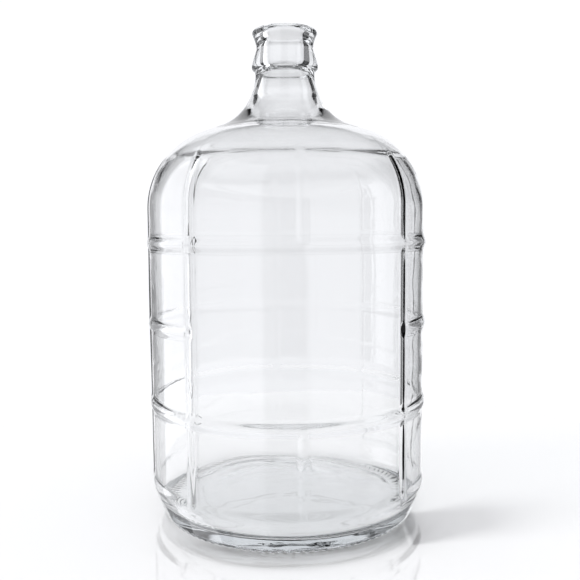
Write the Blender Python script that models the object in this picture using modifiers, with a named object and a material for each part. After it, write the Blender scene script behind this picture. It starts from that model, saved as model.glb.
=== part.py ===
"""Glass carboy: one mould-blown bottle with a ribbed body, a domed shoulder and a bung neck.

The bottle stands on Z = 0 with its axis on the Z axis, and its label panel faces -Y.
Everything is in metres. Angles round the bottle are measured from -Y towards +X.
"""
import math

import bpy
import numpy as np

# Driving dimensions
HEIGHT = 0.420
PANEL_R = 0.120          # outer radius of the body between its ribs
WALL = 0.0037            # body and shoulder
NECK_WALL = 0.0062
BASE_THICKNESS = 0.0115
BORE_R = 0.0165          # mouth, for a tapered bung

# Raised grid on the body
RELIEF = 0.0020          # how far ribs and rings stand proud
RIB_COUNT = 8
RIB_START = math.radians(5.7)
RIB_SHARE = 0.6          # the upright ribs are lower than the rings
RIB_TOP_WIDTH = 0.0040
RIB_FOOT_WIDTH = 0.0110
RING_TOP_WIDTH = 0.0050
RING_FOOT_WIDTH = 0.0130
RING_PITCH = 0.0692
LOWEST_RING_Z = 0.0296
RING_SHARES = (0.55, 1.0, 1.0, 1.0)   # from the heel up; the lowest ring is fainter
LABEL_RING = 2                        # this ring is left out across the label panel
TOP_BORDER_Z = 0.3097    # the panels end here, at the foot of the plain shoulder
BORDER_WIDTH = 0.005

# Shoulder, neck flare and heel
SHOULDER_R = 0.070
SHOULDER_START_Z = 0.266
CONE_ANGLE = math.radians(18.4)
FLARE_R = 0.050
NECK_R = 0.0257
HEEL_Z = 0.028           # the straight body starts here
HEEL_R = 0.024
HEEL_SWEEP = math.radians(23.0)       # the heel curves in by this much, then runs straight
HEEL_END_Z = 0.0018
INNER_HEEL_R = 0.010

# Base
BEARING_OUTER_R = 0.1095
BEARING_INNER_R = 0.1010
PUNT_RISE = 0.0090

# Neck finish: a flared lip, a groove and a second bead with a sharp lower edge
LIP_R = 0.0282
LIP_WIDEST_Z = HEIGHT - 0.0030
LIP_FLAT_OUTER_R = 0.0254
LIP_FLAT_INNER_R = 0.0205
GROOVE_R = 0.0246
GROOVE_Z = HEIGHT - 0.0165
BEAD_R = 0.0289
BEAD_Z = HEIGHT - 0.0305
BEAD_FOOT_Z = HEIGHT - 0.0337
BEAD_EDGE = 0.0009
BORE_END_Z = HEIGHT - 0.0312
BORE_STEP = ((0.0207, BORE_END_Z - 0.0100), (0.0198, BORE_END_Z - 0.0055))
FLARE_TOP = math.radians(183.0)
INNER_FLARE_TOP = math.radians(203.0)

SECTOR = 2 * math.pi / RIB_COUNT
RIB_TOP = RIB_TOP_WIDTH / 2 / PANEL_R
RIB_FOOT = RIB_FOOT_WIDTH / 2 / PANEL_R
OUTER_PANEL_COLUMNS = (RIB_START, math.radians(14.0))     # the first one meets the X and Y axes
HALF_COLUMNS = (RIB_TOP, RIB_FOOT) + OUTER_PANEL_COLUMNS
MIRRORED_COLUMNS = tuple(SECTOR - a for a in reversed(HALF_COLUMNS))
SECTOR_COLUMNS = (0.0,) + HALF_COLUMNS + (SECTOR / 2,) + MIRRORED_COLUMNS
COLUMNS = RIB_COUNT * len(SECTOR_COLUMNS)

GLASS_COLOR = (0.86, 0.90, 0.90, 1.0)
GLASS_ROUGHNESS = 0.02
GLASS_IOR = 1.52
MERGE = 0.00005
ANGLE_SLACK = 0.0001


def arc(center_r, center_z, radius, start, end, count):
    """Points (r, z) on an arc; an angle of 0 points away from the bottle's axis."""
    angles = np.linspace(start, end, count)
    return [(center_r + radius * math.cos(a), center_z + radius * math.sin(a)) for a in angles]


def shoulder_end():
    """Where the domed shoulder meets the straight cone below the neck flare."""
    slope = math.pi / 2 - CONE_ANGLE
    r = PANEL_R - SHOULDER_R + SHOULDER_R * math.cos(slope)
    return r, SHOULDER_START_Z + SHOULDER_R * math.sin(slope)


def flare_center():
    """Centre (r, z) of the concave arc that turns the cone into the neck."""
    dome_r, dome_z = shoulder_end()
    end_r = NECK_R + FLARE_R * (1 - math.sin(CONE_ANGLE))
    end_z = dome_z + (dome_r - end_r) * math.tan(CONE_ANGLE)
    return NECK_R + FLARE_R, end_z + FLARE_R * math.cos(CONE_ANGLE)


def dome_angle(z):
    """The angle on the shoulder's arc at a height."""
    return math.asin((z - SHOULDER_START_Z) / SHOULDER_R)


def finish_outer():
    """Lip, groove and second bead, from the top of the lip down."""
    round_r = LIP_R - LIP_FLAT_OUTER_R
    round_z = HEIGHT - LIP_WIDEST_Z
    lip = [
        (LIP_FLAT_OUTER_R + round_r * math.sin(a), LIP_WIDEST_Z + round_z * math.cos(a))
        for a in np.linspace(0, math.pi / 2, 4)
    ]
    swing = LIP_R - GROOVE_R
    drop = GROOVE_Z - LIP_WIDEST_Z
    waist = [
        (GROOVE_R + swing * (1 - math.sin(t * math.pi / 2)), LIP_WIDEST_Z + t * drop)
        for t in (0.35, 0.7, 1.0)
    ]
    cone = [(GROOVE_R + 0.5 * (BEAD_R - GROOVE_R), GROOVE_Z + 0.45 * (BEAD_Z - GROOVE_Z))]
    foot = [(BEAD_R - BEAD_EDGE, BEAD_FOOT_Z), (NECK_R + BEAD_EDGE, BEAD_FOOT_Z - BEAD_EDGE)]
    return lip + waist + cone + [(BEAD_R, BEAD_Z)] + foot


def shoulder_outer():
    """Neck flare, cone and dome, from the neck down to the body."""
    center_r, center_z = flare_center()
    flare = arc(center_r, center_z, FLARE_R, FLARE_TOP, math.pi * 1.5 - CONE_ANGLE, 6)
    border = dome_angle(TOP_BORDER_Z)
    panel_edge = dome_angle(TOP_BORDER_Z - BORDER_WIDTH)
    center = (PANEL_R - SHOULDER_R, SHOULDER_START_Z, SHOULDER_R)
    plain = arc(*center, math.pi / 2 - CONE_ANGLE, border, 4)
    panelled = arc(*center, panel_edge, 0.0, 4)
    return flare + plain + panelled


def body_outer():
    """The straight body, with rows of points at the tops and feet of the rings, from the top down."""
    halves = (RING_FOOT_WIDTH / 2, RING_TOP_WIDTH / 2, -RING_TOP_WIDTH / 2, -RING_FOOT_WIDTH / 2)
    return [(PANEL_R, ring_z(k) + half) for k in (3, 2, 1) for half in halves]


def heel_outer():
    """The body's foot: the faint ring, the curved then straight heel and the bearing ring's edge."""
    ring = [(PANEL_R, ring_z(0) + RING_FOOT_WIDTH / 2), (PANEL_R, ring_z(0))]
    curve = arc(PANEL_R - HEEL_R, HEEL_Z, HEEL_R, 0.0, -HEEL_SWEEP, 4)
    curve_r, curve_z = curve[-1]
    end_r = curve_r - (curve_z - HEEL_END_Z) * math.tan(HEEL_SWEEP)
    return ring + curve + [(end_r, HEEL_END_Z), (BEARING_OUTER_R, 0.0)]


def punt(outer_r, edge_z, count):
    """The domed middle of the base, from its edge in to the axis."""
    return [(outer_r * s, edge_z + PUNT_RISE * math.cos(s * math.pi / 2)) for s in np.linspace(1, 0, count)]


def inner_flare(count):
    """The inside of the flare, where the shoulder's wall grows into the neck's thicker one."""
    center_r, center_z = flare_center()
    start = math.pi * 1.5 - CONE_ANGLE
    points = []
    for t in np.linspace(0, 1, count):
        angle = start + t * (INNER_FLARE_TOP - start)
        wall = WALL + (NECK_WALL - WALL) * t
        points += arc(center_r, center_z, FLARE_R + wall, angle, angle, 1)
    return points


def inner_side():
    """The inside, from the middle of the base up to the mouth."""
    heel_r = PANEL_R - WALL - INNER_HEEL_R
    edge_r = LIP_FLAT_INNER_R - BORE_R
    floor = punt(heel_r, BASE_THICKNESS, 4)[::-1]
    heel = arc(heel_r, BASE_THICKNESS + INNER_HEEL_R, INNER_HEEL_R, -math.pi / 2, 0.0, 5)[1:]
    dome_end = math.pi / 2 - CONE_ANGLE
    dome = arc(PANEL_R - SHOULDER_R, SHOULDER_START_Z, SHOULDER_R - WALL, 0.0, dome_end, 6)
    bore = [(BORE_R, BORE_END_Z)]
    edge = arc(LIP_FLAT_INNER_R, HEIGHT - edge_r, edge_r, math.pi, math.pi / 2, 4)
    return floor + heel + dome + inner_flare(5) + list(BORE_STEP) + bore + edge


def vessel_profile():
    """The closed section, from the inner base centre up, over the lip and down the outside."""
    underside = punt(BEARING_INNER_R, 0.0, 4)
    return inner_side() + finish_outer() + shoulder_outer() + body_outer() + heel_outer() + underside


def ramp(distance, top_half, foot_half):
    """1 on a raised line's top, 0 outside its foot, straight in between."""
    return min(1.0, max(0.0, (foot_half - distance) / (foot_half - top_half)))


def ring_z(k):
    """Height of a ring, counted from 0 at the heel."""
    return LOWEST_RING_Z + k * RING_PITCH


def relief_share(z, angle):
    """How much of the relief stands at a height and an angle: 1 on a full ring, 0 on a panel."""
    from_rib = angle - RIB_START
    on_label_side = abs(from_rib) < SECTOR - RIB_FOOT - ANGLE_SLACK
    off_rib = abs(from_rib - round(from_rib / SECTOR) * SECTOR)
    shares = [RIB_SHARE * ramp(off_rib, RIB_TOP, RIB_FOOT)]
    if on_label_side and abs(z - ring_z(LABEL_RING)) < RING_PITCH:
        shares = [0.0]
    if z < LOWEST_RING_Z:
        shares[0] *= max(0.0, (z - HEEL_Z) / (LOWEST_RING_Z - HEEL_Z))
    for k, share in enumerate(RING_SHARES):
        if not (on_label_side and k == LABEL_RING):
            shares.append(share * ramp(abs(z - ring_z(k)), RING_TOP_WIDTH / 2, RING_FOOT_WIDTH / 2))
    shares.append(ramp(TOP_BORDER_Z - z, 0.0, BORDER_WIDTH))
    cone_z = shoulder_end()[1]
    fade = ramp(z, TOP_BORDER_Z, cone_z)
    return max(shares) * fade


def is_outer_body(r, z):
    """True for a point on the outside of the body or shoulder."""
    if z < HEEL_Z or z > shoulder_end()[1]:
        return False
    outer = PANEL_R - SHOULDER_R * (1 - math.cos(dome_angle(max(z, SHOULDER_START_Z))))
    return r > outer - WALL / 2


def turn_profile(name, profile):
    """A closed mesh turned from a profile about the Z axis, with columns at the ribs' edges."""
    mesh = bpy.data.meshes.new(name + "_profile")
    edges = [(i, i + 1) for i in range(len(profile) - 1)]
    mesh.from_pydata([(r, 0.0, z) for r, z in profile], edges, [])
    turned = bpy.data.objects.new(name + "_profile", mesh)
    bpy.context.scene.collection.objects.link(turned)
    screw = turned.modifiers.new("turn", "SCREW")
    screw.axis = "Z"
    screw.steps = COLUMNS
    screw.render_steps = COLUMNS
    screw.use_merge_vertices = True
    screw.merge_threshold = MERGE
    solid = bpy.data.meshes.new_from_object(turned.evaluated_get(bpy.context.evaluated_depsgraph_get()))
    bpy.data.objects.remove(turned)
    return solid


def column_angle(x, y):
    """The angle from -Y that an evenly spaced column moves to, so columns meet the ribs' edges."""
    even = math.atan2(y, x) % (2 * math.pi)
    column = round(even / (2 * math.pi / COLUMNS)) % COLUMNS
    sector, place = divmod(column, len(SECTOR_COLUMNS))
    return RIB_START + sector * SECTOR + SECTOR_COLUMNS[place]


def mould_relief(mesh):
    """Moves the turned mesh's columns to the ribs and raises the grid on its outside."""
    for vertex in mesh.vertices:
        r = math.hypot(vertex.co.x, vertex.co.y)
        z = vertex.co.z
        if r < MERGE:
            continue
        angle = column_angle(vertex.co.x, vertex.co.y)
        if is_outer_body(r, z):
            wrapped = (angle + math.pi) % (2 * math.pi) - math.pi
            r += RELIEF * relief_share(z, wrapped)
        vertex.co = (r * math.sin(angle), -r * math.cos(angle), z)


def glass_material():
    """Clear glass with a faint cool tint."""
    material = bpy.data.materials.new("clear_glass")
    material.use_nodes = True
    shader = material.node_tree.nodes["Principled BSDF"]
    shader.inputs["Base Color"].default_value = GLASS_COLOR
    shader.inputs["Metallic"].default_value = 0.0
    shader.inputs["Roughness"].default_value = GLASS_ROUGHNESS
    shader.inputs["IOR"].default_value = GLASS_IOR
    shader.inputs["Transmission Weight"].default_value = 1.0
    material.diffuse_color = GLASS_COLOR[:3] + (0.4,)
    return material


def make_vessel(collection):
    """The whole bottle as one closed solid."""
    mesh = turn_profile("glass_vessel", vessel_profile())
    mould_relief(mesh)
    mesh.name = "glass_vessel"
    mesh.materials.append(glass_material())
    mesh.shade_smooth()
    mesh.set_sharp_from_angle(angle=math.radians(35))
    vessel = bpy.data.objects.new("glass_vessel", mesh)
    collection.objects.link(vessel)
    return vessel


def main():
    for old in list(bpy.data.objects):
        bpy.data.objects.remove(old, do_unlink=True)
    collection = bpy.data.collections.new("glass_carboy")
    bpy.context.scene.collection.children.link(collection)
    make_vessel(collection)


main()
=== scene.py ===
"""Looks of the glass carboy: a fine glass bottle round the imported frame, a white studio and a camera.

Everything is in metres in the frame's own axes. The bottle stands on Z = 0 with its label panel
towards -Y. Angles round it are measured from -Y towards +X.
"""
import math

import bpy
import numpy as np
from mathutils import Matrix, Vector


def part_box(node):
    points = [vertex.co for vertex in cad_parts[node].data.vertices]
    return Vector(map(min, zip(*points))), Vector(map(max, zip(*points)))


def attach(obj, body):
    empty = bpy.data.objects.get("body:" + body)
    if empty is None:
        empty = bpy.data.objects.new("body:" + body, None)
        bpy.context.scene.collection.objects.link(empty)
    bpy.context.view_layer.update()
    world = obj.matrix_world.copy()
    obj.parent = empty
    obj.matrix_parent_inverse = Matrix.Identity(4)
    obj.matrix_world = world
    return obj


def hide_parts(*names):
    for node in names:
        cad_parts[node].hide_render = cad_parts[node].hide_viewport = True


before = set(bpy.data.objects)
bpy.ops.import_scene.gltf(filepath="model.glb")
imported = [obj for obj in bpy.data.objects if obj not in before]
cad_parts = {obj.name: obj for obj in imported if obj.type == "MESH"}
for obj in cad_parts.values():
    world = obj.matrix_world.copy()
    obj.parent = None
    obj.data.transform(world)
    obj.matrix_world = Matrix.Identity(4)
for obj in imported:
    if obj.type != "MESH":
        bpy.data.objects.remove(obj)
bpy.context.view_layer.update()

# ---------------------------------------------------------------- sizes
vessel_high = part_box("glass_vessel")[1]
HEIGHT = vessel_high[2]
RELIEF = 0.0020
PANEL_R = vessel_high[0] - RELIEF
WALL = 0.0037
NECK_WALL = 0.0062
BASE_THICKNESS = 0.0115
BORE_R = 0.0165

# The raised grid. A top or a foot is half a raised line's width there, and a share is of the relief.
RIB_COUNT = 8
RIB_START = math.radians(5.7)
SECTOR = 2 * math.pi / RIB_COUNT
RIB_SHARE = 0.60
RIB_TOP = 0.0006
RIB_FOOT = 0.0056
RIB_FOOT_SWING = 0.0003
BACK_RIB_FOOT = 0.0070
LEFT_RIB_SWELL = 0.4
LEFT_RIB_SWELL_Z = 0.18
LEFT_RIB_SWELL_REACH = 0.045
RING_TOP = 0.0003
RING_FOOT = 0.0076
RING_PITCH = 0.0692
LOWEST_RING_Z = 0.0296
RING_SHARES = (0.55, 1.0, 1.0, 1.0)
FRONT_RING_SHARE = 0.75
LABEL_RING = 2
LABEL_Z = LOWEST_RING_Z + LABEL_RING * RING_PITCH
TOP_BORDER_Z = 0.3097
BORDER_WIDTH = 0.0042
BACK_BORDER_EXTRA = 0.010
SIDE_BORDER_SHARE = 0.15
BOSS_HEIGHT = 0.0006
BOSS_HALF_WIDTH = 0.0052
BOSS_HALF_LENGTH = 0.0062
BOSS_Z = LOWEST_RING_Z + RING_PITCH - 0.0105

# How far the inside follows the grid and wanders, as blown glass does.
INNER_FOLLOW = 0.22
WALL_WANDER = 0.00030
BASE_WANDER = 0.0007

SHOULDER_R = 0.070
SHOULDER_START_Z = 0.266
CONE_ANGLE = math.radians(18.4)
CONE_START_Z = SHOULDER_START_Z + SHOULDER_R * math.cos(CONE_ANGLE)
FLARE_R = 0.050
FLARE_FOOT = math.pi * 1.5 - CONE_ANGLE
FLARE_TOP = math.radians(183)
INNER_FLARE_TOP = math.radians(203)
NECK_R = 0.0257
HEEL_Z = 0.028
HEEL_R = 0.024
HEEL_SWEEP = math.radians(23.0)
HEEL_END_Z = 0.0018
INNER_HEEL_R = 0.010

BEARING_OUTER_R = 0.1095
BEARING_INNER_R = 0.1010
PUNT_RISE = 0.0090
KNURL_COUNT = 96
KNURL_DEPTH = 0.0010

LIP_R = 0.0282
LIP_WIDEST_Z = HEIGHT - 0.0030
LIP_FLAT_OUTER_R = 0.0254
LIP_FLAT_INNER_R = 0.0205
GROOVE_R = 0.0246
GROOVE_Z = HEIGHT - 0.0165
BEAD_R = 0.0289
BEAD_Z = HEIGHT - 0.0305
BEAD_FOOT_Z = HEIGHT - 0.0337
BORE_END_Z = HEIGHT - 0.0312

# The mesh: columns round it and rows up it.
BODY_COLUMNS = 264
COLUMNS_PER_SECTOR = BODY_COLUMNS // RIB_COUNT
RIB_COLUMNS = 19
RING_ROWS = 15
GAP_ROWS = 5
FLANK_START = 1.02
FLANK_END = 0.7
RIB_MARGIN = BACK_RIB_FOOT / PANEL_R * FLANK_START


# ---------------------------------------------------------------- profile
def arc(center_r, center_z, radius, start, end, count):
    """Points (r, z) on an arc; an angle of 0 points away from the bottle's axis."""
    angles = np.linspace(start, end, count)
    return [(center_r + radius * math.cos(a), center_z + radius * math.sin(a)) for a in angles]


def flare_center():
    """Centre (r, z) of the concave arc between the shoulder's cone and the neck."""
    slope = math.pi / 2 - CONE_ANGLE
    dome_r = PANEL_R - SHOULDER_R + SHOULDER_R * math.cos(slope)
    dome_z = SHOULDER_START_Z + SHOULDER_R * math.sin(slope)
    end_r = NECK_R + FLARE_R * (1 - math.sin(CONE_ANGLE))
    end_z = dome_z + (dome_r - end_r) * math.tan(CONE_ANGLE)
    return NECK_R + FLARE_R, end_z + FLARE_R * math.cos(CONE_ANGLE)


def smooth_line(points, step):
    """A smooth curve through the points (Catmull-Rom), with a point about every step."""
    pts = [np.array(p, dtype=float) for p in points]
    pts = [2 * pts[0] - pts[1]] + pts + [2 * pts[-1] - pts[-2]]
    line = []
    for a, b, c, d in zip(pts, pts[1:], pts[2:], pts[3:]):
        count = max(1, round(float(np.linalg.norm(c - b)) / step))
        for i in range(count):
            t = i / count
            line.append(0.5 * (2 * b + (c - a) * t + (2 * a - 5 * b + 4 * c - d) * t * t
                               + (3 * b - a - 3 * c + d) * t ** 3))
    line.append(pts[-2])
    return [tuple(p) for p in line]


def finish_outer():
    """Lip, groove and second bead, from the top of the lip down to the neck."""
    round_r = LIP_R - LIP_FLAT_OUTER_R
    round_z = HEIGHT - LIP_WIDEST_Z
    lip = [
        (LIP_FLAT_OUTER_R + round_r * math.sin(a), LIP_WIDEST_Z + round_z * math.cos(a))
        for a in np.linspace(0, math.pi / 2, 7)
    ]
    swing = LIP_R - GROOVE_R
    drop = GROOVE_Z - LIP_WIDEST_Z
    waist = [
        (GROOVE_R + swing * (1 - math.sin(t * math.pi / 2)), LIP_WIDEST_Z + t * drop)
        for t in np.linspace(0.1, 1.0, 9)
    ]
    cone = [
        (GROOVE_R + (BEAD_R - GROOVE_R) * t * (1.25 - 0.25 * t), GROOVE_Z + (BEAD_Z - GROOVE_Z) * t)
        for t in np.linspace(0.12, 0.9, 7)
    ]
    bead = smooth_line(
        [
            (BEAD_R - 0.0002, BEAD_Z + 0.0007),
            (BEAD_R, BEAD_Z - 0.0004),
            (BEAD_R - 0.0003, BEAD_FOOT_Z + 0.0010),
            (BEAD_R - 0.0009, BEAD_FOOT_Z),
            (NECK_R + 0.0014, BEAD_FOOT_Z - 0.0006),
            (NECK_R + 0.0006, BEAD_FOOT_Z - 0.0016),
        ],
        0.0005,
    )
    return lip + waist + cone + bead


def shoulder_outer():
    """Neck flare, cone and dome, down to the body."""
    center_r, center_z = flare_center()
    flare = arc(center_r, center_z, FLARE_R, FLARE_TOP, FLARE_FOOT, 22)
    dome = arc(PANEL_R - SHOULDER_R, SHOULDER_START_Z, SHOULDER_R, math.pi / 2 - CONE_ANGLE, 0.0, 46)
    return flare + dome


def across(top, foot, count):
    """Offsets across a raised line, closer together on its flanks than on its top."""
    flank = np.linspace(foot * FLANK_START, top * FLANK_END, (count - 1) // 2)
    return list(-flank) + [0.0] * (count % 2) + list(flank[::-1])


def body_rows():
    """Heights of the straight body's rows, close together across each ring, from the top down."""
    heights = []
    for k in reversed(range(len(RING_SHARES))):
        centre = LOWEST_RING_Z + k * RING_PITCH
        heights += [centre - h for h in across(RING_TOP, RING_FOOT, RING_ROWS)]
        if k:
            gap = RING_PITCH - 2 * RING_FOOT
            heights += [centre - RING_FOOT - gap * t for t in np.linspace(0, 1, GAP_ROWS + 2)[1:-1]]
    return [z for z in heights if z > HEEL_Z + 0.0005]


def heel_outer():
    """The curved heel and the straight cone under it, nearly down to the bearing ring."""
    heel = arc(PANEL_R - HEEL_R, HEEL_Z, HEEL_R, 0.0, -HEEL_SWEEP, 7)
    start_r, start_z = heel[-1]
    cone = [
        (start_r - (start_z - z) * math.tan(HEEL_SWEEP), z)
        for z in np.linspace(start_z, HEEL_END_Z, 8)[1:]
    ]
    return heel + cone


def base_outer():
    """The rounded edge of the bearing ring and the flat ring itself, from the outside in."""
    start_r, start_z = heel_outer()[-1]
    corner = (start_r - 0.0006, 0.0005)
    edge = smooth_line([(start_r, start_z), corner, (BEARING_OUTER_R, 0.0)], 0.0005)[1:]
    ring = [(r, 0.0) for r in np.linspace(BEARING_OUTER_R, BEARING_INNER_R, 9)[1:]]
    return edge + ring


def punt(outer_r, edge_z, count):
    """The domed middle of the base, from its edge in towards the axis."""
    return [
        (outer_r * share, edge_z + PUNT_RISE * math.cos(share * math.pi / 2))
        for share in np.linspace(1, 0.03, count)
    ]


def inner_side():
    """The inside, from near the base's middle up to the mouth's inner edge."""
    inner_r = PANEL_R - WALL
    heel_r = inner_r - INNER_HEEL_R
    center_r, center_z = flare_center()
    floor = punt(heel_r, BASE_THICKNESS, 12)[::-1]
    heel = arc(heel_r, BASE_THICKNESS + INNER_HEEL_R, INNER_HEEL_R, -math.pi / 2, 0.0, 12)[1:]
    body = [(inner_r, z) for z in np.linspace(heel[-1][1], SHOULDER_START_Z, 26)[1:-1]]
    dome = arc(PANEL_R - SHOULDER_R, SHOULDER_START_Z, SHOULDER_R - WALL, 0.0, math.pi / 2 - CONE_ANGLE, 16)
    flare = []
    for t in np.linspace(0, 1, 16):
        angle = FLARE_FOOT + t * (INNER_FLARE_TOP - FLARE_FOOT)
        thick = WALL + (NECK_WALL - WALL) * smooth(0.9 * t + 0.1)
        flare += arc(center_r, center_z, FLARE_R + thick, angle, angle, 1)
    step = smooth_line(
        [
            flare[-1],
            (0.0207, BORE_END_Z - 0.0100),
            (0.0198, BORE_END_Z - 0.0055),
            (BORE_R + 0.0004, BORE_END_Z),
            (BORE_R, BORE_END_Z + 0.003),
            (BORE_R, BORE_END_Z + 0.008),
        ],
        0.0012,
    )[1:]
    edge_r = LIP_FLAT_INNER_R - BORE_R
    bore = [(BORE_R, z) for z in np.linspace(BORE_END_Z + 0.011, HEIGHT - edge_r, 6)]
    edge = [
        (LIP_FLAT_INNER_R - edge_r * math.cos(a), HEIGHT - edge_r * (1 - math.sin(a)))
        for a in np.linspace(0, math.pi / 2, 8)[1:]
    ]
    return floor + heel + body + dome + flare + step + bore + edge


# ---------------------------------------------------------------- relief
def smooth(t):
    """A soft step: 0 up to 0, 1 from 1 on, and an S between."""
    t = np.clip(t, 0.0, 1.0)
    return t * t * (3 - 2 * t)


def ridge(distance, top, foot):
    """1 on a raised line's top and 0 outside its foot, with a rounded flank between."""
    return smooth((foot - np.abs(distance)) / (foot - top))


def toward_back(angle):
    """0 at the front, a half at the sides and 1 at the back."""
    return smooth(0.5 - 1.2 * np.cos(angle))


def rib_share(z, angle, from_rib):
    """The upright ribs, which start above the heel. The front one stops at the label panel."""
    foot = RIB_FOOT + RIB_FOOT_SWING * np.sin(angle)
    foot = foot + (BACK_RIB_FOOT - foot) * toward_back(angle)
    off_rib = (from_rib + SECTOR / 2) % SECTOR - SECTOR / 2
    rib = ridge(off_rib * PANEL_R, RIB_TOP, foot)
    rib_end = smooth((abs(z - LABEL_Z) - RING_PITCH) / 0.004 + 0.5)
    rib = np.where(np.abs(from_rib) < SECTOR / 2, rib * rib_end, rib)
    rib = rib * smooth((z - HEEL_Z + 0.006) / 0.014)
    swell = math.exp(-((z - LEFT_RIB_SWELL_Z) / LEFT_RIB_SWELL_REACH) ** 2)
    return rib * (1 + LEFT_RIB_SWELL * np.clip(-np.sin(angle), 0, 1) * swell)


def ring_share(z, angle, from_rib):
    """The rings, crisper at the sides. The label panel has none."""
    crisp = FRONT_RING_SHARE + (1 - FRONT_RING_SHARE) * smooth((np.abs(np.sin(angle)) - 0.45) / 0.4)
    label_side = smooth((SECTOR - np.abs(from_rib)) * PANEL_R / RIB_FOOT)
    ring = np.zeros_like(angle)
    for k, share in enumerate(RING_SHARES):
        height = share * crisp * ridge(z - LOWEST_RING_Z - k * RING_PITCH, RING_TOP, RING_FOOT)
        ring = np.maximum(ring, height * (1 - label_side) if k == LABEL_RING else height)
    return ring


def border_share(z, angle):
    """The border above the panels, wider at the back and faint at the sides."""
    width = BORDER_WIDTH + BACK_BORDER_EXTRA * toward_back(angle)
    border = smooth((z - TOP_BORDER_Z) / width + 1.0)
    at_side = smooth((np.abs(np.sin(angle)) - 0.68 - 0.07 * np.sin(angle)) / 0.2)
    return border * (1 - (1 - SIDE_BORDER_SHARE) * at_side)


def relief_share(z, angle):
    """The raised grid's height, as a share of the relief, at a height and an array of angles."""
    from_rib = (angle - RIB_START + math.pi) % (2 * math.pi) - math.pi
    grid = 1 - (1 - RIB_SHARE * rib_share(z, angle, from_rib)) * (1 - ring_share(z, angle, from_rib))
    fade = 1.0 - smooth((z - TOP_BORDER_Z) / (CONE_START_Z - TOP_BORDER_Z))
    return np.maximum(grid, border_share(z, angle)) * fade


def boss_height(z, angle):
    """The small oval boss that ends the front rib just under the lowest full ring."""
    around = (angle - RIB_START) * PANEL_R / BOSS_HALF_WIDTH
    along = (z - BOSS_Z) / BOSS_HALF_LENGTH
    return BOSS_HEIGHT * smooth(1.6 * (1 - np.sqrt(around ** 2 + along ** 2)))


def drift(z, angle, seed, scale):
    """A value between about -1 and 1 that wanders smoothly round the bottle and along it."""
    total = np.zeros_like(angle)
    for i in range(1, 6):
        along = math.sin(z * scale * i * 0.83 + seed * i * 1.7)
        total += along * np.sin(angle * (i + 1) + seed * i * 2.3 + z * scale)
    return total / 3


# ---------------------------------------------------------------- mesh
def body_angles():
    """Column angles for the body: close together on the ribs and wider on the panels."""
    rib = np.array(across(RIB_TOP, BACK_RIB_FOOT, RIB_COLUMNS)) / PANEL_R
    panel = np.linspace(RIB_MARGIN, SECTOR - RIB_MARGIN, COLUMNS_PER_SECTOR - RIB_COLUMNS + 2)[1:-1]
    sector = np.concatenate([rib, panel])
    return np.concatenate([RIB_START + k * SECTOR + sector for k in range(RIB_COUNT)])


def even_angles(count):
    """Column angles at even steps, from the first of the body's columns on."""
    return RIB_START - RIB_MARGIN + np.arange(count) * 2 * math.pi / count


def make_rows():
    """The closed bottle's rows (radii, heights, angles), from the base's inner middle to its outer one."""
    rows = []
    panel_angles = body_angles()

    def add(r, z, angles):
        rows.append((np.asarray(r) * np.ones(len(angles)), np.asarray(z) * np.ones(len(angles)), angles))

    for r, z in inner_side():
        on_wall = smooth((r - 0.045) / 0.05) * smooth((0.345 - z) / 0.03)
        follow = INNER_FOLLOW * RELIEF * relief_share(z, panel_angles) * on_wall
        wander = WALL_WANDER * drift(z, panel_angles, 1.0, 38.0) * on_wall
        on_base = smooth((0.035 - z) / 0.02) * smooth((r - 0.02) / 0.03)
        lift = BASE_WANDER * drift(r, panel_angles, 2.0, 90.0) * on_base
        add(r + follow + wander, z + lift, panel_angles)
    for r, z in finish_outer():
        add(r, z, panel_angles)
    for r, z in shoulder_outer() + [(PANEL_R, h) for h in body_rows()] + heel_outer():
        add(r + RELIEF * relief_share(z, panel_angles) + boss_height(z, panel_angles), z, panel_angles)
    fine = even_angles(2 * BODY_COLUMNS)
    for r, z in base_outer():
        slant = (BEARING_OUTER_R - r) / (BEARING_OUTER_R - BEARING_INNER_R) * 2 * math.pi
        knurl = 0.5 - 0.5 * np.cos(KNURL_COUNT * fine + slant)
        on_ring = smooth((r - BEARING_INNER_R) / 0.0015) * smooth((BEARING_OUTER_R + 0.0022 - r) / 0.0012)
        add(r, z + KNURL_DEPTH * knurl * on_ring, fine)
    for r, z in punt(BEARING_INNER_R, 0.0, 16)[1:]:
        add(r, z, panel_angles)
    return rows


def stitch(faces, start_a, count_a, start_b, count_b):
    """Faces between two rings of points; one ring may have twice the other's count."""
    if count_a == count_b:
        for i in range(count_a):
            j = (i + 1) % count_a
            faces.append((start_a + i, start_b + i, start_b + j, start_a + j))
    elif count_b == 2 * count_a:
        for i in range(count_a):
            j = (i + 1) % count_a
            low = start_b + 2 * i
            mid = low + 1
            high = start_b + (2 * i + 2) % count_b
            faces.append((start_a + i, low, mid))
            faces.append((start_a + i, mid, start_a + j))
            faces.append((start_a + j, mid, high))
    else:
        for i in range(count_b):
            j = (i + 1) % count_b
            low = start_a + 2 * i
            mid = low + 1
            high = start_a + (2 * i + 2) % count_a
            faces.append((start_b + i, mid, low))
            faces.append((start_b + i, start_b + j, mid))
            faces.append((start_b + j, high, mid))


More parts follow.
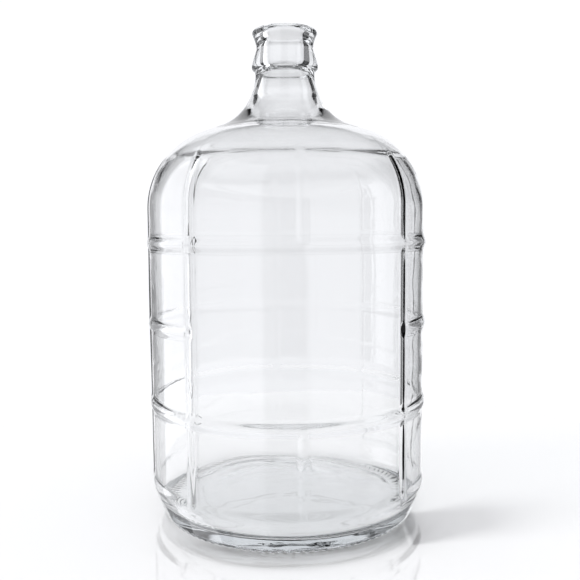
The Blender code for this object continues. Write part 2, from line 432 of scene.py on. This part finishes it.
def glass_mesh():
    """The bottle as one closed mesh."""
    rows = make_rows()
    points = [(0.0, 0.0, rows[0][1].mean())]
    faces = []
    starts = []
    for r, z, angles in rows:
        starts.append(len(points))
        points += list(zip(r * np.sin(angles), -r * np.cos(angles), z))
    for a in range(len(rows) - 1):
        stitch(faces, starts[a], len(rows[a][2]), starts[a + 1], len(rows[a + 1][2]))
    first = len(rows[0][2])
    faces += [(0, starts[0] + i, starts[0] + (i + 1) % first) for i in range(first)]
    last = len(rows[-1][2])
    bottom = len(points)
    points.append((0.0, 0.0, rows[-1][1].mean()))
    faces += [(bottom, starts[-1] + (i + 1) % last, starts[-1] + i) for i in range(last)]
    mesh = bpy.data.meshes.new("carboy_glass")
    mesh.from_pydata(points, [], faces)
    mesh.validate()
    mesh.shade_smooth()
    return mesh


# ---------------------------------------------------------------- materials
WHITE = (1.0, 1.0, 1.0, 1.0)
FLOOR_SHINE = 0.28
# The contact shade, a shadow painted into the floor's colour: how white the floor is at distances from the
# direction that leads out of the painted shade, with the places along it between which it fades. Distances
# are from the bottle's axis.
PAINTED_CONTACT_SHADE = ((0.104, 1.0), (0.110, 0.50), (0.118, 0.62), (0.130, 0.85), (0.145, 0.97), (0.16, 1.0))
PAINTED_SHADE_AWAY = (-0.2, 1.0, 0.0)
PAINTED_SHADE_FULL = -0.10
PAINTED_SHADE_GONE = -0.045


def new_material(name):
    """A material with its nodes, its links and its shader."""
    material = bpy.data.materials.new(name)
    material.use_nodes = True
    nodes = material.node_tree.nodes
    return material, nodes, material.node_tree.links, nodes["Principled BSDF"]


def glass_material():
    """Clear glass: faint tint in its depth, fine mould waves, and light shadows."""
    material, nodes, links, shader = new_material("clear_glass")
    output = nodes["Material Output"]
    shader.inputs["Base Color"].default_value = (0.993, 0.996, 0.998, 1.0)
    shader.inputs["IOR"].default_value = 1.52
    shader.inputs["Transmission Weight"].default_value = 1.0
    shader.inputs["Roughness"].default_value = 0.0
    coords = nodes.new("ShaderNodeTexCoord")
    waves = nodes.new("ShaderNodeTexNoise")
    waves.inputs["Scale"].default_value = 26.0
    waves.inputs["Detail"].default_value = 2.0
    links.new(coords.outputs["Object"], waves.inputs["Vector"])
    bump = nodes.new("ShaderNodeBump")
    bump.inputs["Strength"].default_value = 0.25
    bump.inputs["Distance"].default_value = 0.0010
    links.new(waves.outputs["Fac"], bump.inputs["Height"])
    links.new(bump.outputs["Normal"], shader.inputs["Normal"])
    depth = nodes.new("ShaderNodeVolumeAbsorption")
    depth.inputs["Color"].default_value = (0.74, 0.77, 0.79, 1.0)
    depth.inputs["Density"].default_value = 6.0
    links.new(depth.outputs["Volume"], output.inputs["Volume"])
    path = nodes.new("ShaderNodeLightPath")
    clear = nodes.new("ShaderNodeBsdfTransparent")
    clear.inputs["Color"].default_value = (0.96, 0.965, 0.965, 1.0)
    mix = nodes.new("ShaderNodeMixShader")
    links.new(path.outputs["Is Shadow Ray"], mix.inputs["Fac"])
    links.new(shader.outputs["BSDF"], mix.inputs[1])
    links.new(clear.outputs["BSDF"], mix.inputs[2])
    links.new(mix.outputs["Shader"], output.inputs["Surface"])
    return material


def floor_material():
    """Glossy white acrylic: a soft mirror in a white sheet, with a contact shadow painted into its colour
    in front of the bottle.
    """
    material, nodes, links, shader = new_material("white_acrylic")
    nodes.remove(shader)
    white = nodes.new("ShaderNodeBsdfDiffuse")
    coords = nodes.new("ShaderNodeTexCoord")
    radius = nodes.new("ShaderNodeVectorMath")
    radius.operation = "LENGTH"
    links.new(coords.outputs["Object"], radius.inputs[0])
    # Painted shade: where it is full, in front of the bottle and a little to its right, fading out towards
    # the back.
    away = nodes.new("ShaderNodeVectorMath")
    away.operation = "DOT_PRODUCT"
    away.inputs[1].default_value = PAINTED_SHADE_AWAY
    links.new(coords.outputs["Object"], away.inputs[0])
    front = nodes.new("ShaderNodeMapRange")
    front.interpolation_type = "SMOOTHSTEP"
    front.inputs["From Min"].default_value = PAINTED_SHADE_GONE
    front.inputs["From Max"].default_value = PAINTED_SHADE_FULL
    links.new(away.outputs["Value"], front.inputs["Value"])
    # Painted shade: the floor's colour darkens round the bottle's foot, a contact shadow painted in rather
    # than cast.
    shade = nodes.new("ShaderNodeValToRGB")
    shade.color_ramp.interpolation = "EASE"
    stops = shade.color_ramp.elements
    stops[0].color = WHITE
    for distance, level in PAINTED_CONTACT_SHADE:
        stops.new(distance).color = (level, level, level, 1.0)
    links.new(radius.outputs["Value"], shade.inputs["Fac"])
    blend = nodes.new("ShaderNodeMix")
    blend.data_type = "RGBA"
    blend.inputs["A"].default_value = WHITE
    links.new(front.outputs["Result"], blend.inputs["Factor"])
    links.new(shade.outputs["Color"], blend.inputs["B"])
    links.new(blend.outputs["Result"], white.inputs["Color"])
    mirror = nodes.new("ShaderNodeBsdfAnisotropic")
    mirror.inputs["Color"].default_value = WHITE
    mirror.inputs["Roughness"].default_value = 0.06
    mix = nodes.new("ShaderNodeMixShader")
    mix.inputs["Fac"].default_value = FLOOR_SHINE
    links.new(white.outputs["BSDF"], mix.inputs[1])
    links.new(mirror.outputs["BSDF"], mix.inputs[2])
    links.new(mix.outputs["Shader"], nodes["Material Output"].inputs["Surface"])
    return material


def film_material():
    """A clear film, which marks the rays that the floor mirrors."""
    material, nodes, links, shader = new_material("clear_film")
    nodes.remove(shader)
    clear = nodes.new("ShaderNodeBsdfTransparent")
    links.new(clear.outputs["BSDF"], nodes["Material Output"].inputs["Surface"])
    return material


# ---------------------------------------------------------------- studio
STUDIO_WHITE = (0.97, 0.975, 1.0, 1.0)
# Brightness of the room as seen past the bottle, then through it from the floor upwards, then in its
# reflections. An edge is the elevation of a change and its blur, in degrees.
SEEN_BACKDROP = 1.06
BACKDROP = 1.01
UPPER_EDGE = (4.0, 5.0)
UPPER_BACKDROP = 0.91
OVERHEAD_EDGE = (20.0, 15.0)
OVERHEAD = 0.75
DARK_ROOM = 0.03
# Brightness of the room for rays that the floor scatters: those that then meet glass, and the others.
GLASS_FILL = 1.15
FLOOR_FILL = 0.71

# Softboxes in the dark room: where their azimuth is measured from, its middle and half its width, their
# lowest and highest elevation and the blur of their edges, in degrees, and their brightness.
SOFTBOXES = (
    ("front", -48.0, 29.0, -70.0, 56.0, 3.0, 0.74),
    ("front", 52.0, 34.0, -15.5, 24.0, 3.0, 0.36),
    ("front", -108.0, 16.0, -70.0, 48.0, 1.5, 1.8),
    ("back", 0.0, 27.0, -70.0, 38.0, 3.0, BACKDROP),
    ("back", -42.0, 14.0, -70.0, 9.0, 2.0, 0.40),
    ("back", 50.0, 23.0, -70.0, 4.0, 2.0, 0.24),
    ("back", 0.0, 181.0, 42.0, 64.0, 5.0, 0.25),
    ("back", 0.0, 181.0, 64.0, 91.0, 3.0, 0.12),
)

FLOOR_R = 0.45
FLOOR_GAP = 0.0003
FILM_GAP = 0.0001
SHADE_X = 0.096
SHADE_NEAR = -0.098
SHADE_FAR = -0.036
SHADE_FOOT = 0.001
SHADE_HEIGHT = 0.055
KEY_TURN = math.radians(18.0)
KEY_RISE = math.radians(25.0)
KEY_SPREAD = math.radians(24.0)
KEY_ON_FLOOR = 0.34
KEY_STRENGTH = KEY_ON_FLOOR * math.pi / math.sin(KEY_RISE)


class Nodes:
    """Short ways to make the world's math nodes. Elevations, azimuths and blurs are in degrees."""

    def __init__(self, tree):
        self.tree = tree

    def math(self, operation, *values):
        """A math node's result, from numbers and other nodes' results."""
        node = self.tree.nodes.new("ShaderNodeMath")
        node.operation = operation
        for socket, value in zip(node.inputs, values):
            if isinstance(value, (int, float)):
                socket.default_value = value
            else:
                self.tree.links.new(value, socket)
        return node.outputs[0]

    def mix(self, share, one, other):
        """One where the share is 1 and the other where it is 0."""
        rest = self.math("SUBTRACT", 1.0, share)
        return self.math("ADD", self.math("MULTIPLY", share, one), self.math("MULTIPLY", rest, other))

    def soft_below(self, angle, edge, blur):
        """1 where the angle is below the edge, 0 above it, blurred between."""
        node = self.tree.nodes.new("ShaderNodeMapRange")
        node.interpolation_type = "SMOOTHSTEP"
        node.inputs["From Min"].default_value = math.radians(edge + blur)
        node.inputs["From Max"].default_value = math.radians(edge - blur)
        self.tree.links.new(angle, node.inputs["Value"])
        return node.outputs["Result"]

    def soft_within(self, angle, middle, half, blur):
        """1 within half a width of the middle, 0 outside, blurred between."""
        off = self.math("ABSOLUTE", self.math("SUBTRACT", angle, math.radians(middle)))
        return self.soft_below(off, half, blur)


def make_world():
    """A white studio, whose brightness depends on what a ray has met.

    Straight rays and those that the floor mirrors see the plain backdrop. Rays that the glass bends see
    one that darkens upwards, and rays that it mirrors see softboxes in a dark room. Rays that the floor
    scatters see an even fill, which lights the floor.
    """
    world = bpy.data.worlds.new("studio")
    bpy.context.scene.world = world
    world.use_nodes = True
    world.cycles.sampling_method = "NONE"
    tree = world.node_tree
    background = tree.nodes["Background"]
    n = Nodes(tree)
    coords = tree.nodes.new("ShaderNodeTexCoord")
    split = tree.nodes.new("ShaderNodeSeparateXYZ")
    tree.links.new(coords.outputs["Generated"], split.inputs[0])
    x, y, z = split.outputs
    azimuths = {"front": n.math("ARCTAN2", x, n.math("MULTIPLY", y, -1.0)), "back": n.math("ARCTAN2", x, y)}
    elevation = n.math("ARCSINE", z)
    path = tree.nodes.new("ShaderNodeLightPath")

    mirrored = DARK_ROOM
    for side, middle, half, low, high, blur, level in SOFTBOXES:
        across = n.soft_within(azimuths[side], middle, half, blur)
        upright = n.soft_within(elevation, (low + high) / 2, (high - low) / 2, blur)
        softbox = n.math("MULTIPLY", n.math("MULTIPLY", across, upright), level)
        mirrored = n.math("MAXIMUM", mirrored, softbox)

    upper = n.mix(n.soft_below(elevation, *OVERHEAD_EDGE), UPPER_BACKDROP, OVERHEAD)
    through = n.mix(n.soft_below(elevation, *UPPER_EDGE), BACKDROP, upper)

    is_mirrored = n.math("GREATER_THAN", path.outputs["Glossy Depth"], 0.5)
    met_film = n.math("GREATER_THAN", path.outputs["Transparent Depth"], 0.5)
    is_plain = n.math("MAXIMUM", path.outputs["Is Camera Ray"], met_film)
    is_scattered = n.math("GREATER_THAN", path.outputs["Diffuse Depth"], 0.5)
    seen = n.mix(is_plain, SEEN_BACKDROP, n.mix(is_mirrored, mirrored, through))
    fill = n.mix(path.outputs["Is Diffuse Ray"], FLOOR_FILL, GLASS_FILL)
    tree.links.new(n.mix(is_scattered, fill, seen), background.inputs["Strength"])
    background.inputs["Color"].default_value = STUDIO_WHITE


def make_lights():
    """A broad low light from the left, which throws the light shadow to the right."""
    data = bpy.data.lights.new("left_light", "SUN")
    data.energy = KEY_STRENGTH
    data.angle = KEY_SPREAD
    lamp = bpy.data.objects.new("left_light", data)
    level = math.cos(KEY_RISE)
    direction = Vector((math.cos(KEY_TURN) * level, math.sin(KEY_TURN) * level, -math.sin(KEY_RISE)))
    lamp.rotation_euler = direction.to_track_quat("-Z", "Y").to_euler()
    lamp.visible_glossy = False
    lamp.visible_transmission = False
    lamp.visible_camera = False
    bpy.context.scene.collection.objects.link(lamp)


def make_floor():
    """The acrylic sheet and the film just over it."""
    for name, height, material in (
        ("studio_floor", -FLOOR_GAP, floor_material()),
        ("floor_film", -FILM_GAP, film_material()),
    ):
        bpy.ops.mesh.primitive_circle_add(vertices=128, radius=FLOOR_R, fill_type="NGON")
        sheet = bpy.context.object
        sheet.location = (0, 0, height)
        sheet.name = name
        sheet.visible_glossy = False
        sheet.data.materials.append(material)


def make_shade():
    """A dark card at the heel's right front, which only the floor's light meets. It deepens the shadow."""
    mesh = bpy.data.meshes.new("right_shade")
    corners = [
        (SHADE_X, SHADE_NEAR, SHADE_FOOT),
        (SHADE_X, SHADE_FAR, SHADE_FOOT),
        (SHADE_X, SHADE_FAR, SHADE_HEIGHT),
        (SHADE_X, SHADE_NEAR, SHADE_HEIGHT),
    ]
    mesh.from_pydata(corners, [], [(0, 1, 2, 3)])
    dark, _, _, shader = new_material("dark_card")
    shader.inputs["Base Color"].default_value = (0.02, 0.02, 0.02, 1.0)
    mesh.materials.append(dark)
    card = bpy.data.objects.new("right_shade", mesh)
    card.visible_camera = False
    card.visible_glossy = False
    card.visible_transmission = False
    bpy.context.scene.collection.objects.link(card)


# ---------------------------------------------------------------- camera and scene
CAMERA_DISTANCE = 0.661
CAMERA_HEIGHT = 0.2523
CAMERA_PITCH = math.radians(5.04)
CAMERA_YAW = math.radians(-0.25)
CAMERA_ROLL = math.radians(-0.47)
FOCAL_PIXELS = 741.0
FRAME_PIXELS = 580.0
SENSOR_WIDTH = 36.0
LIGHT_BOUNCES = 24
MIRROR_BOUNCES = 12


def make_camera():
    """The photograph's camera: a little above the bottle's middle, and turned slightly down."""
    data = bpy.data.cameras.new("camera")
    data.sensor_width = SENSOR_WIDTH
    data.lens = FOCAL_PIXELS * SENSOR_WIDTH / FRAME_PIXELS
    camera = bpy.data.objects.new("camera", data)
    camera.location = (0.0, -CAMERA_DISTANCE, CAMERA_HEIGHT)
    look = Matrix.Rotation(CAMERA_YAW, 4, "Z") @ Matrix.Rotation(math.pi / 2 - CAMERA_PITCH, 4, "X")
    camera.rotation_euler = (look @ Matrix.Rotation(CAMERA_ROLL, 4, "Z")).to_euler()
    bpy.context.scene.collection.objects.link(camera)
    bpy.context.scene.camera = camera


def make_glass():
    """The fine bottle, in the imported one's place."""
    mesh = glass_mesh()
    bottle = bpy.data.objects.new("carboy_glass", mesh)
    bpy.context.scene.collection.objects.link(bottle)
    mesh.materials.append(glass_material())
    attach(bottle, "root")
    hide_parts("glass_vessel")


scene = bpy.context.scene
scene.view_settings.view_transform = "Standard"
scene.cycles.max_bounces = LIGHT_BOUNCES
scene.cycles.transmission_bounces = LIGHT_BOUNCES
scene.cycles.glossy_bounces = MIRROR_BOUNCES
make_camera()
make_glass()
make_floor()
make_shade()
make_lights()
make_world()
